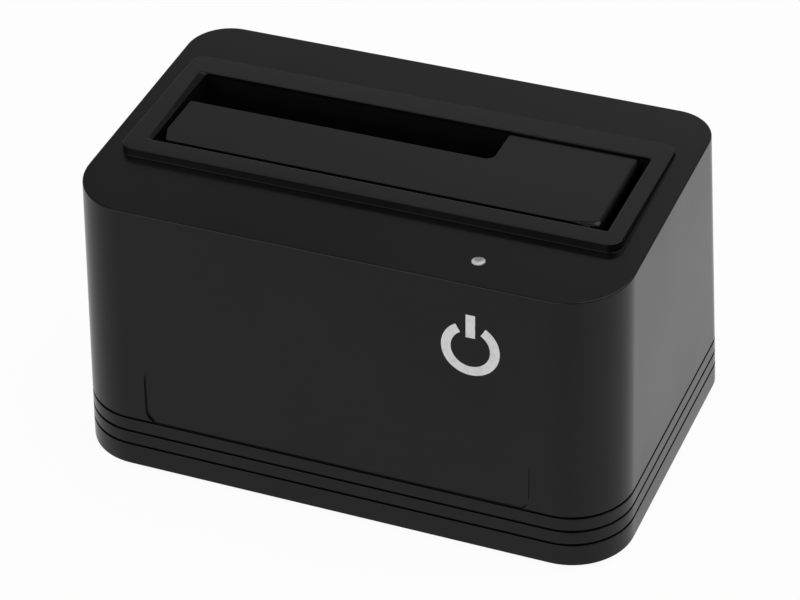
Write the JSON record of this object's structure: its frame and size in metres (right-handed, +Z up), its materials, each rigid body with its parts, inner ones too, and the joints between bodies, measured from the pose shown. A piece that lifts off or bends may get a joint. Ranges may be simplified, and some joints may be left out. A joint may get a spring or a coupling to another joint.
{
  "type": "hard drive docking station",
  "caption": "Desktop docking station: a tapered box body whose top slot, under a sprung notched flap, takes a bare hard drive upright, with power, data and switch at the rear",
  "frame": {"origin": "under the middle of the body, on the surface that the feet stand on", "axes": "+Z up, +X to the right seen from the front, -Y towards the viewer of the front"},
  "size_m": [0.129, 0.0814, 0.071],
  "materials": {
    "housing_black": "moulded ABS with a satin gloss",
    "flap_black": "moulded ABS with a satin gloss",
    "well_black": "matt moulded ABS",
    "port_black": "glass-filled nylon",
    "foot_rubber": "matt elastomer",
    "steel": "nickel-plated steel",
    "gold": "gold flash over copper alloy",
    "board_green": "glass-epoxy laminate with a solder mask",
    "chip_black": "moulded epoxy",
    "lens_white": "frosted clear acrylic",
    "lamp_white": "white moulded case",
    "ferrite_grey": "sintered ferrite",
    "can_aluminium": "drawn aluminium cans"
  },
  "bodies": {
    "dock": {"upper_housing": "housing_black", "base_cover": "housing_black", "drive_well": "well_black", "flap_spring": "steel", "main_board": "board_green", "sata_connector": "port_black", "sata_contacts": "gold", "usb_shell": "steel", "usb_insert": "port_black", "usb_contacts": "gold", "inlet_body": "port_black", "inlet_pin": "steel", "inlet_contact": "steel", "switch_body": "port_black", "switch_terminals": "steel", "status_led": "lamp_white", "light_pipe": "lens_white", "rubber_feet": "foot_rubber", "case_screws": "steel", "board_screws": "steel", "well_screws": "steel", "bridge_chip": "chip_black", "memory_chip": "chip_black", "clock_crystal": "steel", "filter_capacitors": "can_aluminium", "power_inductors": "ferrite_grey", "voltage_regulator": "chip_black"},
    "flap": {"flap_door": "flap_black", "flap_hinge_pin": "steel"},
    "rocker": {"switch_rocker": "flap_black"}
  },
  "joints": [
    {"name": "flap_hinge", "type": "hinge", "parent": "dock", "child": "flap", "pos_m": [0, -0.01095, 0.0689], "axis": [-1, 0, 0], "range_deg": [0, 90], "stiffness_Nm_per_rad": 0.004, "springref_deg": -57.3, "deforming": ["flap_spring"]},
    {"name": "power_rocker", "type": "hinge", "parent": "dock", "child": "rocker", "pos_m": [0.027, 0.03462, 0.0213], "axis": [0, 0, 1], "range_deg": [0, 18]}
  ]
}
